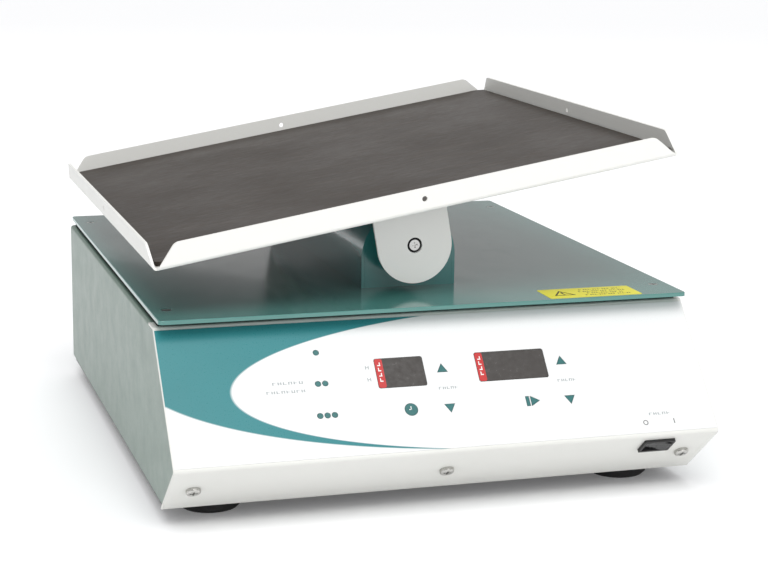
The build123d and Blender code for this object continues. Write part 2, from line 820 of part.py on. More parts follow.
# supply and driver board
supply_wall = 1.2
supply_slot = (22.0, 3.0)
supply_slot_pitch = (8.0, 30.0)
with BuildPart() as power_supply:
    with BuildSketch(Plane.XY.offset(case_bottom)):
        with Locations(supply_place):
            Rectangle(supply_size[0], supply_size[1] + 2 * supply_ear)
            with GridLocations(2 * supply_screw[0], 2 * supply_screw[1], 2, 2):
                Circle(case_screw_radius + free, mode=Mode.SUBTRACT)
    extrude(amount=supply_wall)
    with BuildSketch(Plane.XY.offset(case_bottom + supply_wall)):
        with Locations(supply_place):
            Rectangle(supply_size[0], supply_size[1])
    extrude(amount=supply_size[2] - supply_wall)
    with BuildSketch(Plane.XY.offset(case_bottom + supply_size[2])):
        with Locations(supply_place):
            with GridLocations(*supply_slot_pitch, 9, 3):
                SlotOverall(*supply_slot, rotation=90)
    extrude(amount=-supply_wall, mode=Mode.SUBTRACT)
keep(power_supply.part, "power_supply")
capacitor_middle = (20.0, 25.0)     # from the driver board's middle
capacitor_pitch = (14.0, 16.0)
capacitor_radius = 5.0
capacitor_height = 18.0
relay_place = (18.0, -20.0)
relay_side = 12.0
terminal_place = (0.0, -44.0)
terminal_size = (46.0, 9.0)
block_height = 9.0
sink_place = (-20.0, 10.0)
sink_size = (30.0, 44.0)
sink_base = 3.0
fin_pitch = 4.0
fin_thickness = 1.4
fin_height = 16.0
with BuildPart() as driver_board:
    with BuildSketch(Plane.XY.offset(driver_height)):
        with Locations(driver_place):
            Rectangle(*driver_size)
            with GridLocations(*driver_pitch, 2, 2):
                Circle(driver_pin_radius + tapped, mode=Mode.SUBTRACT)
    extrude(amount=board_thickness)
    with BuildSketch(Plane.XY.offset(driver_height + board_thickness)):
        with Locations(driver_place):
            with Locations(capacitor_middle):
                with GridLocations(*capacitor_pitch, 2, 2):
                    Circle(capacitor_radius)
    extrude(amount=capacitor_height)
    with BuildSketch(Plane.XY.offset(driver_height + board_thickness)):
        with Locations(driver_place):
            with Locations(relay_place):
                Rectangle(relay_side, relay_side)
            with Locations(terminal_place):
                Rectangle(*terminal_size)
    extrude(amount=block_height)
keep(driver_board.part, "driver_board")
with BuildPart() as driver_heatsink:
    with BuildSketch(Plane.XY.offset(driver_height + board_thickness)):
        with Locations(driver_place):
            with Locations(sink_place):
                Rectangle(*sink_size)
    extrude(amount=sink_base)
    with BuildSketch(Plane.XY.offset(driver_height + board_thickness + sink_base)):
        with Locations(driver_place):
            with Locations(sink_place):
                with GridLocations(fin_pitch, 1, 8, 1):
                    Rectangle(fin_thickness, sink_size[1])
    extrude(amount=fin_height)
keep(driver_heatsink.part, "driver_heatsink")

# pedestal
tunnel_y = plate_outer_y
wall_x = half_pedestal
bush_nose = 3.0             # how far a bush stands inside its end plate
bush_length = plate_thickness + bush_nose
plate_gap = 0.1             # round an end plate inside the pedestal
plate_foot_margin = 6.0     # from a plate screw to the end of its foot
pedestal_screw_spare = 2.0  # thread past the pedestal's foot
pedestal_head_radius = 3.6
pedestal_head_height = 2.2
with BuildPart() as pedestal:
    with BuildSketch(upright(-tunnel_y)) as tunnel_section:
        with Locations((pedestal_offset, lid_top + pedestal_shoulder)):
            Circle(wall_x)
        with Locations((pedestal_offset, lid_top + pedestal_shoulder / 2)):
            Rectangle(pedestal_width, pedestal_shoulder)
        with Locations((pedestal_offset, lid_top - wall_x)):
            Rectangle(2 * pedestal_width, 2 * wall_x, mode=Mode.SUBTRACT)
        with Locations((pedestal_offset, lid_top + pedestal_shoulder)):
            Circle(wall_x - pedestal_sheet, mode=Mode.SUBTRACT)
        with Locations((pedestal_offset, lid_top + pedestal_shoulder / 2)):
            Rectangle(pedestal_width - 2 * pedestal_sheet, pedestal_shoulder, mode=Mode.SUBTRACT)
        for side in (-1, 1):
            foot_x = pedestal_offset + side * (wall_x - (pedestal_foot + pedestal_sheet) / 2)
            with Locations((foot_x, lid_top + pedestal_sheet / 2)):
                Rectangle(pedestal_foot + pedestal_sheet, pedestal_sheet)
    extrude(amount=-2 * tunnel_y)
    with BuildSketch(Plane.XY.offset(lid_top)):
        for y in (-1, 1):
            with Locations((pedestal_offset, y * (tunnel_y - plate_thickness))):
                Rectangle(pedestal_width - 2 * pedestal_sheet, 2 * plate_thickness + tuck)
    extrude(amount=pedestal_sheet, mode=Mode.SUBTRACT)
    with BuildSketch(Plane.XY.offset(lid_top)):
        with Locations(*rail_screws):
            Circle(pedestal_screw_radius + tapped)
    extrude(amount=pedestal_sheet, mode=Mode.SUBTRACT)
keep(pedestal.part, "pedestal")

with BuildPart() as end_plates:
    for side in (-1, 1):
        with BuildSketch(upright(side * tunnel_y)):
            with Locations((pedestal_offset, lid_top + pedestal_shoulder)):
                Circle(wall_x - pedestal_sheet - plate_gap)
            with Locations((pedestal_offset, lid_top + pedestal_shoulder / 2)):
                Rectangle(2 * (wall_x - pedestal_sheet - plate_gap), pedestal_shoulder)
            with Locations((pedestal_offset, lid_top - wall_x)):
                Rectangle(2 * pedestal_width, 2 * wall_x, mode=Mode.SUBTRACT)
            with Locations((0, pivot_height)):
                Circle(bush_radius + seat, mode=Mode.SUBTRACT)
        extrude(amount=side * plate_thickness)
        with BuildSketch(Plane.XY.offset(lid_top)):
            with Locations((pedestal_offset, side * (plate_inner_y - plate_foot / 2))):
                Rectangle(2 * (plate_screw_x + plate_foot_margin), plate_foot)
        extrude(amount=pedestal_sheet)
    with BuildSketch(Plane.XY.offset(lid_top)):
        with Locations(*plate_screws):
            Circle(pedestal_screw_radius + tapped)
    extrude(amount=pedestal_sheet, mode=Mode.SUBTRACT)
keep(end_plates.part, "end_plates")
pan_screws(
    "pedestal_screws",
    [under(x, y, lid_under) for x, y in rail_screws + plate_screws],
    pedestal_screw_radius,
    lid_thickness + pedestal_sheet + pedestal_screw_spare,
    pedestal_head_radius,
    pedestal_head_height,
)

with BuildPart() as shaft_bushes:
    for side in (-1, 1):
        with BuildSketch(upright(side * (tunnel_y + bush_flange))):
            with Locations((0, pivot_height)):
                Circle(bush_flange_radius)
                Circle(shaft_radius + running, mode=Mode.SUBTRACT)
        extrude(amount=side * bush_flange)
        with BuildSketch(upright(side * tunnel_y)):
            with Locations((0, pivot_height)):
                Circle(bush_radius)
                Circle(shaft_radius + running, mode=Mode.SUBTRACT)
        extrude(amount=side * bush_length)
keep(shaft_bushes.part, "shaft_bushes")

# rocking platform
hub_radius = 9.0
set_screw_radius = 2.0
shaft_end_sink = 0.4        # the shaft's end face inside the ear's outer face
end_slot = 0.9              # width of the cross cut in the shaft's ends
end_slot_depth = 1.2
slot_reach = 1.1 * shaft_end_radius
shaft_end_y = ear_outer_y - shaft_end_sink
with BuildPart() as rocker_shaft:
    with BuildSketch(tilted(pivot_height, hub_inner_y)):
        Circle(shaft_radius)
    extrude(amount=2 * hub_inner_y)
    for side in (-1, 1):
        with BuildSketch(tilted(pivot_height, side * shaft_end_y)):
            Circle(shaft_end_radius)
        extrude(amount=side * (shaft_end_y - hub_inner_y))
    for side in (-1, 1):
        with BuildSketch(tilted(pivot_height, side * shaft_end_y)):
            Rectangle(slot_reach, end_slot)
            Rectangle(end_slot, slot_reach)
        extrude(amount=side * end_slot_depth, both=True, mode=Mode.SUBTRACT)
keep(rocker_shaft.part, "rocker_shaft")

with BuildPart() as ear_hubs:
    for side in (-1, 1):
        with BuildSketch(tilted(pivot_height, side * ear_inner_y)):
            Circle(hub_radius)
            Circle(shaft_end_radius + seat, mode=Mode.SUBTRACT)
        extrude(amount=side * (ear_inner_y - hub_inner_y))
    hub_middle = (ear_inner_y + hub_inner_y) / 2
    for side in (-1, 1):
        with BuildSketch(Plane(origin=(0, side * hub_middle, pivot_height), x_dir=along, z_dir=up)):
            Circle(set_screw_radius + seat)
        extrude(amount=-hub_radius - 1, mode=Mode.SUBTRACT)
keep(ear_hubs.part, "ear_hubs")

ear_bend = 4.0
tray_screw_radius = 2.0
tray_screw_head = 3.4
tray_screw_x = 17.0
tray_screw_pitch = 55.0
bracket_top = tray_rise
half_bracket = bracket_width / 2


def tray_screw_places():
    """Where the tray is screwed to its bracket."""
    return GridLocations(2 * tray_screw_x, tray_screw_pitch, 2, 5)


with BuildPart() as tray_bracket:
    with BuildSketch(Plane(origin=pivot, x_dir=(0, 1, 0), z_dir=along).offset(-half_bracket)):
        with BuildLine():
            FilletPolyline(
                (-ear_outer_y, -half_bracket),
                (-ear_outer_y, bracket_top),
                (ear_outer_y, bracket_top),
                (ear_outer_y, -half_bracket),
                radius=ear_bend,
            )
            offset(amount=bracket_sheet, side=Side.RIGHT, closed=True)
        make_face()
    extrude(amount=bracket_width)
    with BuildSketch(tilted(pivot_height, 0)):
        Circle(half_bracket)
        with Locations((0, bracket_top)):
            Rectangle(bracket_width, 2 * bracket_top)
        with Locations((0, -half_bracket / 2)):
            Rectangle(3 * bracket_width, half_bracket, mode=Mode.SUBTRACT)
        Circle(half_bracket)
        Circle(ear_hole_radius, mode=Mode.SUBTRACT)
    extrude(amount=ear_outer_y, both=True, mode=Mode.INTERSECT)
    with BuildSketch(tray_plane.offset(bracket_top)):
        with tray_screw_places():
            Circle(tray_screw_radius + tapped)
    extrude(amount=-bracket_sheet, mode=Mode.SUBTRACT)
keep(tray_bracket.part, "tray_bracket")

tray_bend = 2.5
rim_relief = 4.0
rim_slant = 11.5            # how far a rim's end leans back over its height
rim_corner = 6.0
half_tray = tray_width / 2
half_tray_depth = tray_depth / 2
rim_hole_height = tray_sheet + (tray_rim - tray_sheet) / 2


def tray_fold(section_plane, cut_plane, across, length):
    """Floor and two opposite rims, folded across one way and trimmed along the other."""
    with BuildPart() as fold:
        with BuildSketch(section_plane.offset(-length)):
            with BuildLine():
                FilletPolyline(
                    (-across, tray_rim), (-across, 0), (across, 0), (across, tray_rim), radius=tray_bend
                )
                offset(amount=tray_sheet, side=Side.LEFT, closed=True)
            make_face()
        extrude(amount=2 * length)
        with BuildSketch(cut_plane) as trim:
            with BuildLine():
                Polyline(
                    (-length + tray_bend, 0),
                    (-length + tray_bend, tray_sheet),
                    (-length + rim_relief, tray_bend),
                    (-length + rim_relief + rim_slant, tray_rim),
                    (length - rim_relief - rim_slant, tray_rim),
                    (length - rim_relief, tray_bend),
                    (length - tray_bend, tray_sheet),
                    (length - tray_bend, 0),
                    close=True,
                )
            make_face()
            fillet(trim.vertices().sort_by(Axis.Y)[-2:], rim_corner)
        extrude(amount=across, both=True, mode=Mode.INTERSECT)
        rim_hole = cut_plane.location * Location((0, rim_hole_height, 0))
        with BuildSketch(Plane(rim_hole)):
            Circle(rim_hole_radius)
        extrude(amount=across, both=True, mode=Mode.SUBTRACT)
    return fold.part


tray_origin = tray_plane.offset(tray_rise)
fold_ends = Plane(origin=tray_origin.origin, x_dir=(0, 1, 0), z_dir=along)
fold_sides = Plane(origin=tray_origin.origin, x_dir=along, z_dir=(0, -1, 0))
with BuildPart() as tray:
    add(tray_fold(fold_sides, fold_ends, half_tray, half_tray_depth))
    add(tray_fold(fold_ends, fold_sides, half_tray_depth, half_tray))
    with Locations(tray_origin.offset(tray_sheet)):
        with tray_screw_places():
            CounterSinkHole(tray_screw_radius + tapped, tray_screw_head, tray_sheet)
keep(tray.part, "tray")

mat_corner = 5.0
with BuildPart() as tray_mat:
    with BuildSketch(tray_origin.offset(tray_sheet)) as mat_sketch:
        Rectangle(
            tray_width - 2 * (tray_sheet + mat_clearance), tray_depth - 2 * (tray_sheet + mat_clearance)
        )
        chamfer(mat_sketch.vertices(), mat_corner)
    extrude(amount=mat_thickness)
keep(tray_mat.part, "tray_mat")

nut_height = 3.2
nut_radius = 4.0
head_sink = 0.1             # a tray screw's face below the tray's floor
head_play = 0.15            # round a tray screw's head in its countersink
screw_spare = 0.8           # thread past the nut
with BuildPart() as tray_screws:
    with BuildSketch(Plane.XZ) as half_tray_screw:
        with BuildLine():
            Polyline(
                (0, -head_sink),
                (tray_screw_head - head_play, -head_sink),
                (tray_screw_radius, tray_screw_radius - tray_screw_head + head_play - head_sink),
                (tray_screw_radius, -tray_sheet - bracket_sheet - nut_height - screw_spare),
                (0, -tray_sheet - bracket_sheet - nut_height - screw_spare),
                close=True,
            )
        make_face()
    one_tray_screw = revolve(half_tray_screw.sketch, Axis.Z, mode=Mode.PRIVATE)
    with Locations(tray_origin.offset(tray_sheet)):
        with tray_screw_places():
            add(one_tray_screw)
keep(tray_screws.part, "tray_screws")
with BuildPart() as tray_nuts:
    with BuildSketch(tray_origin.offset(-bracket_sheet)):
        with tray_screw_places():
            RegularPolygon(nut_radius, 6)
            Circle(tray_screw_radius + running, mode=Mode.SUBTRACT)
    extrude(amount=-nut_height)
keep(tray_nuts.part, "tray_nuts")

# lever, link and motor arm
lever_wall = 5.0            # round the rocker shaft in the lever's hub
lever_hub = shaft_radius + lever_wall
lever_eye = 6.5
boss_length = 8.0
half_arm = arm_thickness / 2
clip_thickness = 1.0
clip_radius = 5.0
clip_groove = 0.6
clip_play = 0.1             # of a clip in its groove
pin_nose = 1.5              # how far a pin stands past its clip
pin_end = link_y + link_thickness + end_play + clip_thickness + pin_nose


def arm(height, bore, grub):
    """A lever with a hub for a shaft of radius bore and an eye for the link's pin."""
    reach = tilted(height, 0).location * Location((arm_radius, 0, 0))
    with BuildPart() as lever:
        with BuildSketch(tilted(height, half_arm)):
            Circle(lever_hub)
            with Locations((arm_radius, 0)):
                Circle(lever_eye)
            make_hull()
        extrude(amount=arm_thickness)
        if grub:
            with BuildSketch(tilted(height, -half_arm)):
                Circle(lever_hub)
            extrude(amount=boss_length)
        with BuildSketch(tilted(height, 0)):
            Circle(bore + seat)
        extrude(amount=half_arm + boss_length, both=True, mode=Mode.SUBTRACT)
        with BuildSketch(Plane(reach)):
            Circle(pin_radius + seat)
        extrude(amount=arm_thickness, both=True, mode=Mode.SUBTRACT)
        if grub:
            with BuildSketch(Plane(origin=(0, -half_arm - boss_length / 2, height), x_dir=along, z_dir=up)):
                Circle(set_screw_radius + seat)
            extrude(amount=lever_hub + 1, mode=Mode.SUBTRACT)
    return lever.part


def crank_pin(height):
    """The link's pin in an arm, with a groove for its clip."""
    reach = tilted(height, 0).location * Location((arm_radius, 0, 0))
    clip_y = link_y + link_thickness + end_play
    with BuildPart() as pin:
        with BuildSketch(Plane(reach).offset(half_arm)):
            Circle(pin_radius)
        extrude(amount=-half_arm - pin_end)
        with BuildSketch(Plane(reach).offset(-clip_y)):
            Circle(pin_radius)
            Circle(pin_radius - clip_groove, mode=Mode.SUBTRACT)
        extrude(amount=-clip_thickness, mode=Mode.SUBTRACT)
    return pin.part


def pin_clip(height):
    """The clip that holds the link on its pin."""
    reach = tilted(height, 0).location * Location((arm_radius, 0, 0))
    clip_y = link_y + link_thickness + end_play
    with BuildPart() as clip:
        with BuildSketch(Plane(reach).offset(-clip_y)):
            Circle(clip_radius)
            Circle(pin_radius - clip_groove + seat, mode=Mode.SUBTRACT)
            with Locations((0, -clip_radius)):
                Rectangle(2 * pin_radius - 2 * clip_groove, 2 * clip_radius, mode=Mode.SUBTRACT)
        extrude(amount=-clip_thickness + clip_play)
    return clip.part


keep(arm(pivot_height, shaft_radius, True), "rocker_lever")
keep(crank_pin(pivot_height), "lever_pin")
keep(pin_clip(pivot_height), "lever_clip")
keep(arm(motor_axis_height, output_radius, False), "motor_arm")
keep(crank_pin(motor_axis_height), "arm_pin")
keep(pin_clip(motor_axis_height), "arm_clip")
grub_sink = 1.0             # a set screw's end inside its hub
with BuildPart() as set_screws:
    for side in (-1, 1):
        hub_place = Plane(origin=(0, side * hub_middle, pivot_height), x_dir=along, z_dir=up)
        with BuildSketch(hub_place.offset(-shaft_end_radius - seat)):
            Circle(set_screw_radius)
        extrude(amount=-hub_radius + shaft_end_radius + grub_sink)
    boss_place = Plane(origin=(0, -half_arm - boss_length / 2, pivot_height), x_dir=along, z_dir=up)
    with BuildSketch(boss_place.offset(shaft_radius + seat)):
        Circle(set_screw_radius)
    extrude(amount=lever_hub - shaft_radius - grub_sink)
keep(set_screws.part, "set_screws")

pin_lift = arm_radius * sin(radians(tilt))
eye_heights = (pivot_height + pin_lift, motor_axis_height + pin_lift)
with BuildPart() as link:
    with BuildSketch(upright(link_y)):
        with Locations(*[(pin_x, z) for z in eye_heights]):
            Circle(link_eye_radius)
        with Locations((pin_x, sum(eye_heights) / 2)):
            Rectangle(link_width, link_length)
        with Locations(*[(pin_x, z) for z in eye_heights]):
            Circle(link_bush_radius + seat, mode=Mode.SUBTRACT)
    extrude(amount=-link_thickness)
keep(link.part, "link")
with BuildPart() as link_bushes:
    with BuildSketch(upright(link_y)):
        with Locations(*[(pin_x, z) for z in eye_heights]):
            Circle(link_bush_radius)
            Circle(pin_radius + running, mode=Mode.SUBTRACT)
    extrude(amount=-link_thickness)
keep(link_bushes.part, "link_bushes")

# gear motor on its bracket
arm_gap = 2.0               # from the motor arm to the bracket's plate
plate_front = -half_arm - arm_gap
bracket_plate = 3.0
gearbox_front = plate_front - bracket_plate
boss_radius = 10.0
bracket_half_width = 40.0
bracket_margin = 5.0        # of the bracket's plate over the gearbox
bracket_rise = motor_axis_height + gearbox_radius + bracket_margin
gusset_drop = 20.0          # from the plate's top to the gussets'
bracket_foot = 55.0
gearbox_screw_ring = 22.0
output_end = half_arm
gearbox_chamfer = 1.0
gearbox_thread = 8.0        # depth of the gearbox's screw holes
motor_chamfer = 1.5
motor_boss_radius = 6.0
terminal_offset = 14.0
motor_terminal = (1.0, 5.0)
motor_tail = 6.0
with BuildPart() as motor_bracket:
    with BuildSketch(upright(gearbox_front)):
        with Locations((0, (case_bottom + bracket_rise) / 2)):
            Rectangle(2 * bracket_half_width, bracket_rise - case_bottom)
        with Locations((0, motor_axis_height)):
            Circle(boss_radius + tapped, mode=Mode.SUBTRACT)
            with PolarLocations(gearbox_screw_ring, 4, 45):
                Circle(case_screw_radius + free, mode=Mode.SUBTRACT)
    extrude(amount=-bracket_plate)
    with BuildSketch(Plane.XY.offset(case_bottom)):
        with Locations((0, plate_front - bracket_foot / 2)):
            Rectangle(2 * bracket_half_width, bracket_foot)
        with Locations(*[(sx * bracket_screw_x, y) for sx in (-1, 1) for y in bracket_screw_y]):
            Circle(case_screw_radius + free, mode=Mode.SUBTRACT)
    extrude(amount=bracket_plate)
    for x0 in (-bracket_half_width, bracket_half_width - bracket_plate):
        with BuildSketch(Plane.YZ.offset(x0)):
            with BuildLine():
                Polyline(
                    (plate_front - bracket_foot, case_bottom),
                    (plate_front - bracket_plate, case_bottom),
                    (plate_front - bracket_plate, bracket_rise - gusset_drop),
                    (plate_front - bracket_foot, case_bottom + bracket_plate),
                    close=True,
                )
            make_face()
        extrude(amount=bracket_plate)
keep(motor_bracket.part, "motor_bracket")

with BuildPart() as gearbox:
    with BuildSketch(upright(gearbox_front)):
        with Locations((0, motor_axis_height)):
            Circle(gearbox_radius)
    extrude(amount=gearbox_length)
    chamfer(gearbox.edges().filter_by(GeomType.CIRCLE), gearbox_chamfer)
    with BuildSketch(upright(gearbox_front)):
        with Locations((0, motor_axis_height)):
            Circle(boss_radius)
    extrude(amount=-bracket_plate)
    with BuildSketch(upright(plate_front)):
        with Locations((0, motor_axis_height)):
            Circle(output_radius + running)
    extrude(amount=bracket_plate + gearbox_length / 2, mode=Mode.SUBTRACT)
    with BuildSketch(upright(gearbox_front)):
        with Locations((0, motor_axis_height)):
            with PolarLocations(gearbox_screw_ring, 4, 45):
                Circle(case_screw_radius + tapped)
    extrude(amount=gearbox_thread, mode=Mode.SUBTRACT)
keep(gearbox.part, "gearbox")

with BuildPart() as gear_motor:
    with BuildSketch(upright(gearbox_front - gearbox_length)):
        with Locations((0, motor_axis_height)):
            Circle(motor_radius)
    extrude(amount=motor_length)
    chamfer(gear_motor.edges().filter_by(GeomType.CIRCLE), motor_chamfer)
    with BuildSketch(upright(gearbox_front - gearbox_length - motor_length)):
        with Locations((0, motor_axis_height)):
            Circle(motor_boss_radius)
        with Locations((0, motor_axis_height)):
            with GridLocations(2 * terminal_offset, 1, 2, 1):
                Rectangle(*motor_terminal)
    extrude(amount=motor_tail)
keep(gear_motor.part, "gear_motor")
with BuildPart() as output_shaft:
    with BuildSketch(upright(output_end)):
        with Locations((0, motor_axis_height)):
            Circle(output_radius)
    extrude(amount=output_end - gearbox_front + gearbox_length / 2 - end_play)
keep(output_shaft.part, "output_shaft")

# screws of the case
front_facing = Plane(origin=(0, plate_front, 0), x_dir=(-1, 0, 0), z_dir=(0, 1, 0))
back_facing = Plane(origin=(0, back_y, 0), x_dir=(-1, 0, 0), z_dir=(0, 1, 0))
board_behind = Plane(origin=face_plane.origin, x_dir=(-1, 0, 0), z_dir=-face_plane.z_dir)
ring = gearbox_screw_ring * sin(radians(45))
corners = [(sx, sy) for sx in (-1, 1) for sy in (-1, 1)]
case_screw_length = 8.0
case_head_radius = 3.6
case_head_height = 2.0
screw_places = [under(sx * base_screw_x, sy * base_screw_y, base_under) for sx, sy in corners]
screw_places += [on(back_facing, sx * back_screw_x, z) for sx in (-1, 1) for z in back_screw_heights]
screw_places += [on(front_facing, sx * ring, motor_axis_height + sy * ring) for sx, sy in corners]
screw_places += [
    on(
        board_behind,
        sx * board_screw_pitch[0] / 2,
        board_middle + sy * board_screw_pitch[1] / 2,
        board_depth + board_thickness,
    )
    for sx, sy in corners
]
screw_places += [
    Location((
        supply_place[0] + sx * supply_screw[0],
        supply_place[1] + sy * supply_screw[1],
        case_bottom + supply_wall,
    ))
    for sx, sy in corners
]
screw_places += [
    Location((sx * bracket_screw_x, y, case_bottom + bracket_plate))
    for sx in (-1, 1)
    for y in bracket_screw_y
]
pan_screws(
    "case_screws", screw_places, case_screw_radius, case_screw_length, case_head_radius, case_head_height
)
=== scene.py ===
import bpy
import bmesh
import math
from mathutils import Matrix, Vector


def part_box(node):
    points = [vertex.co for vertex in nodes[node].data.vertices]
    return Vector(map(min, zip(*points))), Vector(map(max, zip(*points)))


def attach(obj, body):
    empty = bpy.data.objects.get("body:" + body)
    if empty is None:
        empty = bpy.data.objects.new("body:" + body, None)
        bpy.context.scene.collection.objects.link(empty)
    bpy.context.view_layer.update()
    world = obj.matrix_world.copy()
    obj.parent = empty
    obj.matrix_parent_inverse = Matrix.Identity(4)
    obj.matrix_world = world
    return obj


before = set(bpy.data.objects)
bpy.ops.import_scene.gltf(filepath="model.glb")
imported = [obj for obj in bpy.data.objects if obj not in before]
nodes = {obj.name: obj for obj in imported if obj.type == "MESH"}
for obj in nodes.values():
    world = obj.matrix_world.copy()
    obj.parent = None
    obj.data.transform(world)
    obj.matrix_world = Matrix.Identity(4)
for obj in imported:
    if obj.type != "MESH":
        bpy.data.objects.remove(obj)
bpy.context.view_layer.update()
millimetre = 0.001
print("frame loaded:", len(nodes), "cad nodes")


def linearColour(code):
    # sRGB hex to the linear values the shaders want
    channels = [int(code[i:i + 2], 16) / 255 for i in (1, 3, 5)]
    return [c / 12.92 if c <= 0.04045 else ((c + 0.055) / 1.055) ** 2.4 for c in channels] + [1.0]


def addNode(tree, kind, settings=None, links=None):
    # settings are node properties by name, or input sockets by name or number
    node = tree.nodes.new(kind)
    for key, value in (settings or {}).items():
        if isinstance(key, str) and hasattr(node, key):
            setattr(node, key, value)
        else:
            node.inputs[key].default_value = value
    for key, source in (links or {}).items():
        tree.links.new(source, node.inputs[key])
    return node


def startMaterial(name, colour, roughness, metallic=0.0, **sockets):
    # a principled material with an object-space coordinate ready to use
    material = bpy.data.materials.new(name)
    material.use_nodes = True
    material.diffuse_color = linearColour(colour)
    tree = material.node_tree
    tree.nodes.clear()
    shader = addNode(tree, "ShaderNodeBsdfPrincipled", {
        "Base Color": linearColour(colour), "Roughness": roughness, "Metallic": metallic, **sockets,
    })
    addNode(tree, "ShaderNodeOutputMaterial", links={"Surface": shader.outputs["BSDF"]})
    where = addNode(tree, "ShaderNodeTexCoord").outputs["Object"]
    return material, tree, shader, where


def stretched(tree, where, x, y, z):
    # the same coordinate, squeezed so that a grain runs along one axis
    return addNode(tree, "ShaderNodeMapping", {"Scale": (x, y, z)}, {"Vector": where}).outputs["Vector"]


def noiseOf(tree, where, size, detail=3.0, rough=0.5):
    # size is the width of one blotch in millimetres
    return addNode(tree, "ShaderNodeTexNoise", {
        "Scale": 1 / (size * millimetre), "Detail": detail, "Roughness": rough,
    }, {"Vector": where}).outputs["Fac"]


def spread(tree, value, low, high, start=0.3, end=0.7):
    # a noise value turned into a range such as a roughness
    settings = {1: start, 2: end, 3: low, 4: high}
    return addNode(tree, "ShaderNodeMapRange", settings, {0: value}).outputs[0]


def blendOf(tree, factor, first, second):
    # first and second are hex colours or sockets
    node = addNode(tree, "ShaderNodeMix", {"data_type": "RGBA"}, {0: factor})
    for slot, colour in ((6, first), (7, second)):
        if isinstance(colour, str):
            node.inputs[slot].default_value = linearColour(colour)
        else:
            tree.links.new(colour, node.inputs[slot])
    return node.outputs[2]


def bumpOf(tree, shader, height, strength, depth):
    # depth is in millimetres
    bump = addNode(tree, "ShaderNodeBump", {"Strength": strength, "Distance": depth * millimetre},
                   {"Height": height})
    tree.links.new(bump.outputs["Normal"], shader.inputs["Normal"])


def basis(origin, across, up, out):
    # a placement whose x, y and z run across, up and out of a surface
    return Matrix((
        (across.x, up.x, out.x, origin.x),
        (across.y, up.y, out.y, origin.y),
        (across.z, up.z, out.z, origin.z),
        (0, 0, 0, 1),
    ))


def faceOf(node, towards):
    # the flat side of a node that looks most towards a direction: its normal and its vertices
    best = max(nodes[node].data.polygons, key=lambda p: p.area * max(0.0, p.normal.dot(towards)))
    return best.normal.copy(), [v.co for v in nodes[node].data.vertices]


def powderCoat(name, colour, deep, roughness, peel=0.02, gloss=0.0):
    # powder coat on sheet steel: even colour, a fine orange peel and a soft sheen
    size = {"cloud": 70, "peel": 1.1, "scuff": 18}
    material, tree, shader, where = startMaterial(
        name, colour, roughness, **{"Coat Weight": gloss, "Coat Roughness": 0.12})
    cloud = noiseOf(tree, where, size["cloud"])
    grain = noiseOf(tree, where, size["peel"], 2.0)
    scuffs = noiseOf(tree, where, size["scuff"], 5.0, 0.7)
    tree.links.new(blendOf(tree, cloud, colour, deep), shader.inputs["Base Color"])
    tree.links.new(spread(tree, scuffs, roughness - 0.04, roughness + 0.07), shader.inputs["Roughness"])
    bumpOf(tree, shader, grain, 0.5, peel)
    return material


def paintedShadeUnderside(name, top, under, deep, place, roughness):
    # powder coat on a folded tray, with painted shade: its flat underside is coloured near black to
    # stand in for the deep shade beneath the tray
    cloudSize = 40
    edge = {"start": 0.05, "end": 0.25}     # height above the underside where the painted shade gives way
    material = powderCoat(name, top, top, roughness)
    tree = material.node_tree
    shader = next(n for n in tree.nodes if n.type == "BSDF_PRINCIPLED")
    where = next(n for n in tree.nodes if n.type == "TEX_COORD").outputs["Object"]
    above = addNode(tree, "ShaderNodeVectorMath", {"operation": "SUBTRACT", 1: place.translation},
                    {0: where})
    lift = addNode(tree, "ShaderNodeVectorMath", {"operation": "DOT_PRODUCT", 1: place.col[2].xyz},
                   {0: above.outputs[0]})
    cloud = noiseOf(tree, where, cloudSize)
    white = shader.inputs["Base Color"].links[0].from_socket
    # painted shade: this dark colour stands in for the shade under the tray
    dark = blendOf(tree, cloud, under, deep)
    paintedShadeMask = spread(tree, lift.outputs["Value"], 1.0, 0.0,
                     edge["start"] * millimetre, edge["end"] * millimetre)
    tree.links.new(blendOf(tree, paintedShadeMask, white, dark), shader.inputs["Base Color"])
    return material


def lidEnamel(name, colour, deep, roughness):
    # stoved enamel on a steel lid: glossy, with faint wipe marks and a slow ripple in the film
    size = {"cloud": 120, "wipe": 16, "ripple": 22}
    material, tree, shader, where = startMaterial(
        name, colour, roughness, **{"Coat Weight": 0.5, "Coat Roughness": 0.1})
    cloud = noiseOf(tree, where, size["cloud"])
    wipes = noiseOf(tree, stretched(tree, where, 1.0, 0.4, 1.0), size["wipe"], 3.0, 0.55)
    ripple = noiseOf(tree, where, size["ripple"], 2.0)
    tree.links.new(blendOf(tree, cloud, colour, deep), shader.inputs["Base Color"])
    tree.links.new(spread(tree, wipes, roughness - 0.02, roughness + 0.05), shader.inputs["Roughness"])
    bumpOf(tree, shader, ripple, 0.4, 0.02)
    return material


def bareMetal(name, colour, deep, roughness, grainSize, direction):
    # bare metal: grain runs along the direction it was ground or drawn in
    cloudSize = 14
    material, tree, shader, where = startMaterial(name, colour, roughness, 1.0)
    grain = noiseOf(tree, stretched(tree, where, *direction), grainSize, 4.0, 0.65)
    cloud = noiseOf(tree, where, cloudSize)
    tree.links.new(blendOf(tree, cloud, colour, deep), shader.inputs["Base Color"])
    tree.links.new(spread(tree, grain, roughness - 0.08, roughness + 0.12), shader.inputs["Roughness"])
    bumpOf(tree, shader, grain, 0.25, 0.03)
    return material


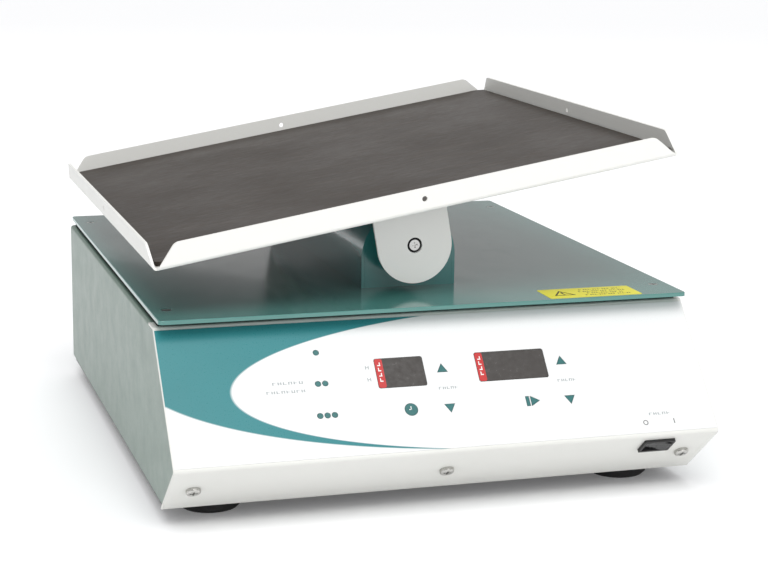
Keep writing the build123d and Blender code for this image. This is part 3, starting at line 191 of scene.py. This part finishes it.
def mouldedPart(name, colour, deep, roughness, texture):
    # moulded plastic or rubber: spark-eroded texture that breaks up the highlight
    cloudSize = 25
    material, tree, shader, where = startMaterial(name, colour, roughness)
    grain = noiseOf(tree, where, texture, 2.0)
    cloud = noiseOf(tree, where, cloudSize)
    tree.links.new(blendOf(tree, cloud, colour, deep), shader.inputs["Base Color"])
    tree.links.new(spread(tree, grain, roughness - 0.08, roughness + 0.08), shader.inputs["Roughness"])
    bumpOf(tree, shader, grain, 0.3, 0.06)
    return material


def matRubber(name):
    # anti-slip rubber sheet: fine calender streaks along its length, dusty between them
    colours = {"dark": "#231e19", "light": "#3b322b", "dust": "#4a423b"}
    size = {"streak": 1.6, "band": 7.0, "cloud": 90}
    drawn = {"streak": 0.035, "band": 0.05}     # how far each is squeezed along the mat's length
    material, tree, shader, where = startMaterial(
        name, colours["dark"], 0.4, **{"Specular IOR Level": 0.3})
    streaks = noiseOf(tree, stretched(tree, where, drawn["streak"], 1.0, 1.0), size["streak"], 5.0, 0.7)
    bands = noiseOf(tree, stretched(tree, where, drawn["band"], 1.0, 1.0), size["band"], 3.0, 0.6)
    cloud = noiseOf(tree, where, size["cloud"], 2.0)
    base = blendOf(tree, spread(tree, streaks, 0.0, 1.0, 0.35, 0.65), colours["dark"], colours["light"])
    dusty = blendOf(tree, spread(tree, bands, 0.0, 0.45, 0.5, 0.75), base, colours["dust"])
    tree.links.new(dusty, shader.inputs["Base Color"])
    rough = addNode(tree, "ShaderNodeMath", {"operation": "ADD"},
                    {0: spread(tree, streaks, 0.36, 0.56), 1: spread(tree, cloud, 0.0, 0.12)})
    tree.links.new(rough.outputs[0], shader.inputs["Roughness"])
    bumpOf(tree, shader, streaks, 0.35, 0.12)
    return material


def printedFilm(name, place):
    # reverse-printed polyester film: a teal crescent between two ellipses on a white ground
    # each ellipse: its middle across and up the face, and its half width and half height
    film = {"white": "#e2e3e3", "teal": "#328388", "tealDeep": "#2b777c",
            "inner": (91.3, 48.4, 225.6, 50.9), "outer": (66.7, 69.8, 261.0, 70.4),
            "upperRow": (69.5, 70.5), "rightEnd": (40.0, 41.0), "soft": 0.004}
    size = {"cloud": 60, "grain": 0.8}
    material, tree, shader, where = startMaterial(
        name, film["white"], 0.34, **{"Specular IOR Level": 0.35})
    fromFold = addNode(tree, "ShaderNodeVectorMath", {"operation": "SUBTRACT", 1: place.translation},
                       {0: where}).outputs[0]

    def run(axis):
        direction = place.col[axis].xyz
        return addNode(tree, "ShaderNodeVectorMath", {"operation": "DOT_PRODUCT", 1: direction},
                       {0: fromFold}).outputs["Value"]

    def ellipse(shape):
        # more than 1 outside the ellipse
        terms = []
        for axis, (middle, radius) in enumerate(((shape[0], shape[2]), (shape[1], shape[3]))):
            shifted = addNode(tree, "ShaderNodeMath",
                              {"operation": "SUBTRACT", 1: middle * millimetre}, {0: runs[axis]})
            scaled = addNode(tree, "ShaderNodeMath",
                             {"operation": "DIVIDE", 1: radius * millimetre}, {0: shifted.outputs[0]})
            terms.append(addNode(tree, "ShaderNodeMath", {"operation": "POWER", 1: 2.0},
                                 {0: addNode(tree, "ShaderNodeMath", {"operation": "ABSOLUTE"},
                                             {0: scaled.outputs[0]}).outputs[0]}).outputs[0])
        total = addNode(tree, "ShaderNodeMath", {"operation": "ADD"}, {0: terms[0], 1: terms[1]})
        return addNode(tree, "ShaderNodeMath", {"operation": "SQRT"}, {0: total.outputs[0]}).outputs[0]

    runs = [run(0), run(1)]
    soft = film["soft"]
    outside = spread(tree, ellipse(film["inner"]), 0.0, 1.0, 1 - soft, 1 + soft)
    inOuter = spread(tree, ellipse(film["outer"]), 1.0, 0.0, 1 - soft, 1 + soft)
    # above the outer ellipse's widest row the teal runs on to the film's edge
    upper = spread(tree, runs[1], 0.0, 1.0, *(row * millimetre for row in film["upperRow"]))
    # the crescent ends past the middle
    left = spread(tree, runs[0], 1.0, 0.0, *(end * millimetre for end in film["rightEnd"]))
    within = addNode(tree, "ShaderNodeMath", {"operation": "MAXIMUM"},
                     {0: inOuter, 1: upper}).outputs[0]
    both = addNode(tree, "ShaderNodeMath", {"operation": "MULTIPLY"},
                   {0: outside, 1: within}).outputs[0]
    inked = addNode(tree, "ShaderNodeMath", {"operation": "MULTIPLY"}, {0: both, 1: left}).outputs[0]
    cloud = noiseOf(tree, where, size["cloud"])
    grain = noiseOf(tree, where, size["grain"], 2.0)
    ink = blendOf(tree, cloud, film["teal"], film["tealDeep"])
    tree.links.new(blendOf(tree, inked, film["white"], ink), shader.inputs["Base Color"])
    tree.links.new(spread(tree, grain, 0.26, 0.36), shader.inputs["Roughness"])
    bumpOf(tree, shader, grain, 0.12, 0.02)
    return material


foldGap = 2.5 * millimetre      # the film stops this far above the fold of the front
panelOut, filmPoints = faceOf("panel_overlay", Vector((0, -0.7, 0.7)))
panelAcross = Vector((1, 0, 0))
panelUp = panelOut.cross(panelAcross).normalized()
panelOrigin = (panelUp * (min(p.dot(panelUp) for p in filmPoints) - foldGap)
               + panelOut * max(p.dot(panelOut) for p in filmPoints))
panelPlace = basis(panelOrigin, panelAcross, panelUp, panelOut)

trayOut = faceOf("tray_mat", Vector((0, 0, 1)))[0]
trayBack = Vector((0, 1, 0))
trayAcross = trayBack.cross(trayOut).normalized()
trayFloor = trayOut * min(v.co.dot(trayOut) for v in nodes["tray"].data.vertices)
trayPlace = basis(trayFloor, trayAcross, trayBack, trayOut)

whiteCoat = powderCoat("white powder coat", "#e9e9e5", "#e3e3df", 0.42)
# the tray's underside carries painted shade: dark colour where it is only shaded
trayCoatPaintedShade = paintedShadeUnderside(
    "white powder coat, painted shade underneath", "#e5e5e1", "#242728", "#1c1e1f", trayPlace, 0.42)
panelCoat = powderCoat("white powder coat on the front panel", "#dededa", "#d8d8d3", 0.4)
greyGreenCoat = powderCoat("grey green powder coat", "#6b8075", "#64786d", 0.34, gloss=0.1)
tealCoat = powderCoat("teal powder coat", "#2f7f7d", "#2a7371", 0.2, 0.01, 0.5)
blackCoat = powderCoat("black powder coat", "#17171a", "#101013", 0.45)
lidFinish = lidEnamel("glossy stoved enamel", "#558a83", "#4c7e78", 0.16)
stainless = bareMetal("turned stainless steel", "#c9c8c4", "#b0afab", 0.24, 0.5, (1, 1, 1))
zinc = bareMetal("zinc plated steel", "#b9bab8", "#9c9e9c", 0.36, 2.5, (1, 1, 1))
# a dark steel finish on the hubs and also painted shade: their dark faces stand in for the shade in the
# ring round each shaft end in the ear holes
hubSteelPaintedShade = bareMetal("dark hub steel with painted shade", "#2b2b2c", "#1d1d1e", 0.4, 0.8, (1, 1, 1))
groundSteel = bareMetal("ground steel", "#c4c4c2", "#adadab", 0.2, 0.6, (1, 0.08, 1))
aluminium = bareMetal("milled aluminium", "#c6c8ca", "#b4b6b8", 0.32, 0.8, (0.1, 1, 1))
bronze = bareMetal("sintered bronze", "#b5894e", "#96703c", 0.42, 0.4, (1, 1, 1))
brass = bareMetal("turned brass", "#c9ab5e", "#b0934a", 0.28, 0.5, (1, 1, 0.2))
blackNylon = mouldedPart("moulded black nylon", "#151516", "#0e0e0f", 0.46, 0.7)
glossNylon = mouldedPart("polished black nylon", "#111113", "#0b0b0c", 0.22, 1.5)
footRubber = mouldedPart("moulded black rubber", "#141415", "#1d1c1c", 0.7, 0.6)
foamStrip = mouldedPart("closed cell foam", "#121313", "#1b1c1c", 0.85, 0.9)
boardGreen = mouldedPart("solder mask on glass laminate", "#14532c", "#0e4223", 0.4, 2.2)
displayCase = mouldedPart("red filtered display moulding", "#2b1614", "#1f100f", 0.35, 0.9)
keyFilm = mouldedPart("teal printed key film", "#2f6f70", "#28615f", 0.34, 0.8)
smokedWindow = mouldedPart("smoked acrylic", "#4d4a48", "#423f3d", 0.2, 3.0)
matFinish = matRubber("ribbed anti-slip rubber")
filmFinish = printedFilm("printed polyester film", panelPlace)
yellowVinyl = mouldedPart("yellow vinyl", "#f1ea2c", "#e8df1f", 0.38, 0.8)
blackInk = mouldedPart("black printing ink", "#1a1a18", "#22221f", 0.5, 0.6)
greyInk = mouldedPart("grey printing ink", "#8d9496", "#a0a6a8", 0.5, 0.6)
redInk = mouldedPart("red printing ink", "#c2302f", "#b12a2a", 0.34, 0.8)
whiteInk = mouldedPart("white printing ink", "#eeeeec", "#e4e4e2", 0.45, 0.6)
silverVinyl = mouldedPart("silver polyester label", "#b9bcbc", "#aeb1b1", 0.35, 0.8)

finishes = {
    "lid": lidFinish, "left_side_panel": greyGreenCoat, "right_side_panel": greyGreenCoat,
    "back_panel": greyGreenCoat, "front_panel": panelCoat, "panel_overlay": filmFinish,
    "base_plate": blackCoat, "feet": footRubber, "foot_screws": zinc, "lid_gasket": foamStrip,
    "lid_screws": zinc, "lip_screws": stainless, "case_screws": zinc, "timer_window": smokedWindow,
    "speed_window": smokedWindow, "displays": displayCase, "control_board": boardGreen,
    "driver_board": boardGreen, "board_spacers": brass, "tact_switches": blackNylon,
    "driver_heatsink": aluminium, "power_switch": blackNylon, "power_rocker": glossNylon,
    "mains_inlet": blackNylon, "fuse_drawer": blackNylon, "power_supply": aluminium,
    "pedestal": tealCoat, "end_plates": tealCoat, "pedestal_screws": zinc, "shaft_bushes": bronze,
    "rocker_shaft": groundSteel, "ear_hubs": hubSteelPaintedShade, "set_screws": zinc,
    "tray_bracket": whiteCoat, "tray": trayCoatPaintedShade, "tray_mat": matFinish, "tray_screws": stainless,
    "tray_nuts": zinc,
    "rocker_lever": aluminium, "lever_pin": groundSteel, "lever_clip": zinc, "motor_arm": aluminium,
    "arm_pin": groundSteel, "arm_clip": zinc, "link": aluminium, "link_bushes": bronze,
    "motor_bracket": zinc, "gearbox": groundSteel, "gear_motor": blackCoat, "output_shaft": groundSteel,
}
for name, node in nodes.items():
    finish = finishes.get(name, keyFilm)
    for socket in node.material_slots:
        socket.material = finish
print("finishes set on", len(nodes), "nodes")


def finishPiece(mesh, name, place, material, body):
    # puts the mesh where it belongs, tidies it and hangs it on its body
    bmesh.ops.transform(mesh, matrix=place, verts=mesh.verts)
    bmesh.ops.remove_doubles(mesh, verts=mesh.verts, dist=1e-6)
    bmesh.ops.recalc_face_normals(mesh, faces=mesh.faces)
    data = bpy.data.meshes.new(name)
    mesh.to_mesh(data)
    mesh.free()
    data.materials.append(material)
    piece = bpy.data.objects.new(name, data)
    bpy.context.scene.collection.objects.link(piece)
    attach(piece, body)


def addPlate(mesh, x, y, width, height, thickness, corner=0.0, base=0.0):
    # a thin rounded plate, in millimetres, added to a mesh that may hold more of them
    made = bmesh.ops.create_grid(mesh, x_segments=1, y_segments=1, size=0.5)["verts"]
    bmesh.ops.scale(mesh, vec=(width * millimetre, height * millimetre, 1), verts=made)
    if corner:
        bent = bmesh.ops.bevel(mesh, geom=made, offset=corner * millimetre, offset_type="OFFSET",
                               affect="VERTICES", segments=4, profile=0.5, material=-1)
        made = list({v for f in bent["faces"] for v in f.verts} | {v for v in bent["verts"]})
    face = [f for f in mesh.faces if all(v in made for v in f.verts)]
    lifted = bmesh.ops.extrude_face_region(mesh, geom=face, use_keep_orig=True)["geom"]
    top = [g for g in lifted if isinstance(g, bmesh.types.BMVert)]
    bmesh.ops.translate(mesh, vec=(0, 0, thickness * millimetre), verts=top)
    own = list(set(made) | set(top))
    bmesh.ops.translate(mesh, vec=(x * millimetre, y * millimetre, base * millimetre), verts=own)


def addRing(mesh, x, y, radius, line, thickness, sides=28, turn=0.0, base=0.0):
    # a flat ring in millimetres, or a hollow polygon when it has few sides
    angle = math.radians(turn)
    inner, outer = (radius - line) * millimetre, radius * millimetre
    made = []
    for reach, height in ((inner, 0), (outer, 0), (outer, thickness), (inner, thickness)):
        made.append(mesh.verts.new((math.cos(angle) * reach, math.sin(angle) * reach,
                                    (base + height) * millimetre)))
    profile = [mesh.edges.new((made[i], made[(i + 1) % 4])) for i in range(4)]
    bmesh.ops.spin(mesh, geom=made + profile, cent=(0, 0, 0), axis=(0, 0, 1),
                   angle=math.tau, steps=sides, use_merge=True)
    # the ring's own vertices are the untagged ones around the origin
    own = [v for v in mesh.verts if v.link_edges and v.co.xy.length < outer * 1.01 and v.tag is False]
    bmesh.ops.translate(mesh, vec=(x * millimetre, y * millimetre, 0), verts=own)
    for v in own:
        v.tag = True


def addWord(mesh, x, y, length, height, letters, thickness, base=0.0):
    # a row of plain strokes where a printed word stands: it reads as small print and says nothing
    # places and widths are shares of a letter's pitch, and barTall and barRows of its height
    stroke = {"stemAt": -0.28, "stem": 0.2, "barAt": 0.04, "bar": 0.5, "barTall": 0.16,
              "barRows": (0.4, 0.0, -0.4), "tailAt": 0.24, "tail": 0.18}
    pitch = length / letters
    for i in range(letters):
        middle = x - length / 2 + (i + 0.5) * pitch
        row = stroke["barRows"][i % 3]
        addPlate(mesh, middle + stroke["stemAt"] * pitch, y, stroke["stem"] * pitch, height,
                 thickness, base=base)
        addPlate(mesh, middle + stroke["barAt"] * pitch, y + row * height, stroke["bar"] * pitch,
                 stroke["barTall"] * height, thickness, base=base)
        if i % 2:
            addPlate(mesh, middle + stroke["tailAt"] * pitch, y, stroke["tail"] * pitch, height,
                     thickness, base=base)


legends = {
    "words": [          # across, up the face, length, height, letters
        (-98.5, 53.4, 20.0, 1.8, 6), (-100.5, 47.6, 25.0, 1.8, 8),
        (2.5, 43.2, 13.0, 1.7, 5), (81.5, 43.0, 13.0, 1.7, 5), (138.0, 15.2, 15.0, 1.7, 5),
    ],
    "units": [(-47.0, 60.5), (-47.0, 52.2)],
    "unitStrokes": [(-0.9, 0.5, 2.4), (0.0, 1.4, 0.4), (0.9, 0.5, 2.4)],     # shift, width, height
    "offMark": (127.1, 9.5), "offRadius": 1.7, "offLine": 0.45,
    "onMark": (146.7, 9.4), "onSize": (0.5, 3.4),
    "thickness": 0.03,
}
mesh = bmesh.new()
for across, up, length, height, letters in legends["words"]:
    addWord(mesh, across, up, length, height, letters, legends["thickness"])
for across, up in legends["units"]:
    for shift, width, height in legends["unitStrokes"]:
        addPlate(mesh, across + shift, up, width, height, legends["thickness"])
finishPiece(mesh, "panel_legends", panelPlace, greyInk, "case")
mesh = bmesh.new()
addRing(mesh, *legends["offMark"], legends["offRadius"], legends["offLine"], legends["thickness"])
finishPiece(mesh, "off_mark", panelPlace, blackInk, "case")
mesh = bmesh.new()
addPlate(mesh, *legends["onMark"], *legends["onSize"], legends["thickness"])
finishPiece(mesh, "on_mark", panelPlace, blackInk, "case")
print("panel print done")

# a red strip down the left end of each window, with plain marks where its print stands
strips = {"width": 5.0, "tall": 20.0, "corner": 1.4, "thickness": 0.04, "ink": 0.03,
          "marks": 4, "markPitch": 3.6, "barStart": -5.4, "bar": (2.0, 0.7),
          "tickStart": -4.2, "tick": (0.6, 1.8), "tickAside": 0.6}
for name in ("timer_window", "speed_window"):
    low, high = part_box(name)
    windowMiddle = Vector((0, (low.y + high.y) / 2, (low.z + high.z) / 2))
    up = (windowMiddle - panelOrigin).dot(panelUp) / millimetre
    across = low.x / millimetre + strips["width"] / 2
    mesh = bmesh.new()
    addPlate(mesh, across, up, strips["width"], strips["tall"], strips["thickness"], strips["corner"])
    finishPiece(mesh, name + "_strip", panelPlace, redInk, "case")
    mesh = bmesh.new()
    for i in range(strips["marks"]):
        aside = strips["tickAside"] if i % 2 else -strips["tickAside"]
        addPlate(mesh, across, up + strips["barStart"] + strips["markPitch"] * i, *strips["bar"],
                 strips["ink"], base=strips["thickness"])
        addPlate(mesh, across + aside, up + strips["tickStart"] + strips["markPitch"] * i,
                 *strips["tick"], strips["ink"], base=strips["thickness"])
    finishPiece(mesh, name + "_strip_marks", panelPlace, whiteInk, "case")
print("window strips done")

clock = {"row": 30.2, "hand": 0.55, "long": 2.4, "short": 1.7, "overlap": 0.3, "thickness": 0.03}
low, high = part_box("key_clock")
clockAcross = (low.x + high.x) / 2 / millimetre
mesh = bmesh.new()
addPlate(mesh, clockAcross, clock["row"] + clock["long"] / 2 - clock["overlap"], clock["hand"],
         clock["long"], clock["thickness"])
addPlate(mesh, clockAcross - clock["short"] / 2 + clock["overlap"], clock["row"], clock["short"],
         clock["hand"], clock["thickness"])
finishPiece(mesh, "clock_hands", panelPlace, whiteInk, "key_clock_body")

label = {"across": 112.0, "fromEdge": 15.4, "width": 64.0, "height": 26.0, "corner": 1.4,
         "thickness": 0.12, "ink": 0.03,
         "signInset": 13, "signDrop": 1.5, "sign": 8.5, "signLine": 2.2,
         "markRise": 0.6, "mark": (1.3, 4.4), "dotDrop": 3.6, "dot": (1.3, 1.3),
         "printShift": 10, "printTop": 7.5, "printPitch": 5.0, "printTall": 2.2,
         "rows": ((30, 9), (34, 11), (26, 8), (32, 10))}     # length, letters
lidLow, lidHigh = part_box("lid")
labelPlace = Matrix.Translation((0, lidLow.y, lidHigh.z))
mesh = bmesh.new()
addPlate(mesh, label["across"], label["fromEdge"], label["width"], label["height"], label["thickness"],
         label["corner"])
finishPiece(mesh, "warning_label", labelPlace, yellowVinyl, "case")
mesh = bmesh.new()
signAcross = label["across"] - label["width"] / 2 + label["signInset"]
addRing(mesh, signAcross, label["fromEdge"] - label["signDrop"], label["sign"], label["signLine"],
        label["ink"], sides=3, turn=90, base=label["thickness"])
addPlate(mesh, signAcross, label["fromEdge"] + label["markRise"], *label["mark"], label["ink"],
         base=label["thickness"])
addPlate(mesh, signAcross, label["fromEdge"] - label["dotDrop"], *label["dot"], label["ink"],
         base=label["thickness"])
for row, (length, letters) in enumerate(label["rows"]):
    addWord(mesh, label["across"] + label["printShift"],
            label["fromEdge"] + label["printTop"] - label["printPitch"] * row, length,
            label["printTall"], letters, label["ink"], base=label["thickness"])
finishPiece(mesh, "warning_label_print", labelPlace, blackInk, "case")

# across runs to the left of the front, as it is read from behind
plate = {"across": 70.0, "height": 55.0, "width": 70.0, "tall": 40.0, "corner": 1.5, "thickness": 0.15,
         "ink": 0.03, "rows": 5, "printShift": 4, "printTop": 13, "printPitch": 6.2, "printTall": 2.6,
         "length": 50, "shortBy": 5, "letters": 14}
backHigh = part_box("back_panel")[1]
backPlace = basis(Vector((0, backHigh.y, 0)), Vector((-1, 0, 0)), Vector((0, 0, 1)), Vector((0, 1, 0)))
mesh = bmesh.new()
addPlate(mesh, plate["across"], plate["height"], plate["width"], plate["tall"], plate["thickness"],
         plate["corner"])
finishPiece(mesh, "rating_plate", backPlace, silverVinyl, "case")
mesh = bmesh.new()
for row in range(plate["rows"]):
    addWord(mesh, plate["across"] - plate["printShift"],
            plate["height"] + plate["printTop"] - plate["printPitch"] * row,
            plate["length"] - plate["shortBy"] * (row % 2), plate["printTall"], plate["letters"],
            plate["ink"], base=plate["thickness"])
finishPiece(mesh, "rating_plate_print", backPlace, blackInk, "case")
print("labels done")

shot = {"place": (-0.3719, -1.2737, 0.3849), "yaw": 17.3, "pitch": 12.2, "roll": 0.8,
        "lens": 88.29, "sensor": 36.0, "farthest": 60}
yaw, pitch, roll = (math.radians(shot[k]) for k in ("yaw", "pitch", "roll"))
ahead = Vector((math.sin(yaw) * math.cos(pitch), math.cos(yaw) * math.cos(pitch), -math.sin(pitch)))
right = Vector((math.cos(yaw), -math.sin(yaw), 0))
upward = right.cross(ahead)
right, upward = (right * math.cos(roll) + upward * math.sin(roll),
                 upward * math.cos(roll) - right * math.sin(roll))
cameraData = bpy.data.cameras.new("camera")
cameraData.lens = shot["lens"]
cameraData.sensor_width = shot["sensor"]
cameraData.clip_end = shot["farthest"]
camera = bpy.data.objects.new("camera", cameraData)
camera.matrix_world = basis(Vector(shot["place"]), right, upward, -ahead)
bpy.context.scene.collection.objects.link(camera)
bpy.context.scene.camera = camera

bpy.context.scene.view_settings.view_transform = "Standard"
bpy.context.scene.view_settings.look = "None"

studio = {"floor": "#f7f7f8", "floorDeep": "#f5f6f8", "cloud": 300, "floorGlow": 0.1, "reach": 20,
          "sky": 0.5}
floorFinish, tree, shader, where = startMaterial(
    "white acrylic light table", studio["floor"], 0.6,
    **{"Emission Color": (1.0, 1.0, 1.0, 1.0), "Emission Strength": studio["floorGlow"]})
floorCloud = noiseOf(tree, where, studio["cloud"])
floorColour = blendOf(tree, floorCloud, studio["floor"], studio["floorDeep"])
tree.links.new(floorColour, shader.inputs["Base Color"])
mesh = bmesh.new()
bmesh.ops.create_grid(mesh, x_segments=2, y_segments=2, size=studio["reach"])
data = bpy.data.meshes.new("floor")
mesh.to_mesh(data)
mesh.free()
data.materials.append(floorFinish)
floor = bpy.data.objects.new("floor", data)
bpy.context.scene.collection.objects.link(floor)

world = bpy.data.worlds.new("studio")
world.use_nodes = True
world.node_tree.nodes["Background"].inputs["Color"].default_value = (1.0, 1.0, 1.0, 1.0)
world.node_tree.nodes["Background"].inputs["Strength"].default_value = studio["sky"]
bpy.context.scene.world = world

lamps = {
    "overhead_scrim": {"kind": "SUN", "from": (-0.12, -0.48, 0.87), "angle": 40, "strength": 1.85},
    "front_softbox": {"kind": "AREA", "from": (0.5, -2.1, 1.1), "size": 1.5, "strength": 9},
    "left_softbox": {"kind": "AREA", "from": (-1.8, -0.9, 1.2), "size": 1.4, "strength": 5},
    "back_softbox": {"kind": "AREA", "from": (0.5, 2.2, 1.9), "size": 1.6, "strength": 8},
}
for name, lamp in lamps.items():
    light = bpy.data.lights.new(name, lamp["kind"])
    light.energy = lamp["strength"]
    if lamp["kind"] == "SUN":
        light.angle = math.radians(lamp["angle"])
    else:
        light.shape = "SQUARE"
        light.size = lamp["size"]
    holder = bpy.data.objects.new(name, light)
    holder.location = lamp["from"]
    holder.rotation_euler = (-Vector(lamp["from"])).to_track_quat("-Z", "Y").to_euler()
    bpy.context.scene.collection.objects.link(holder)
print("camera, floor and lights done")
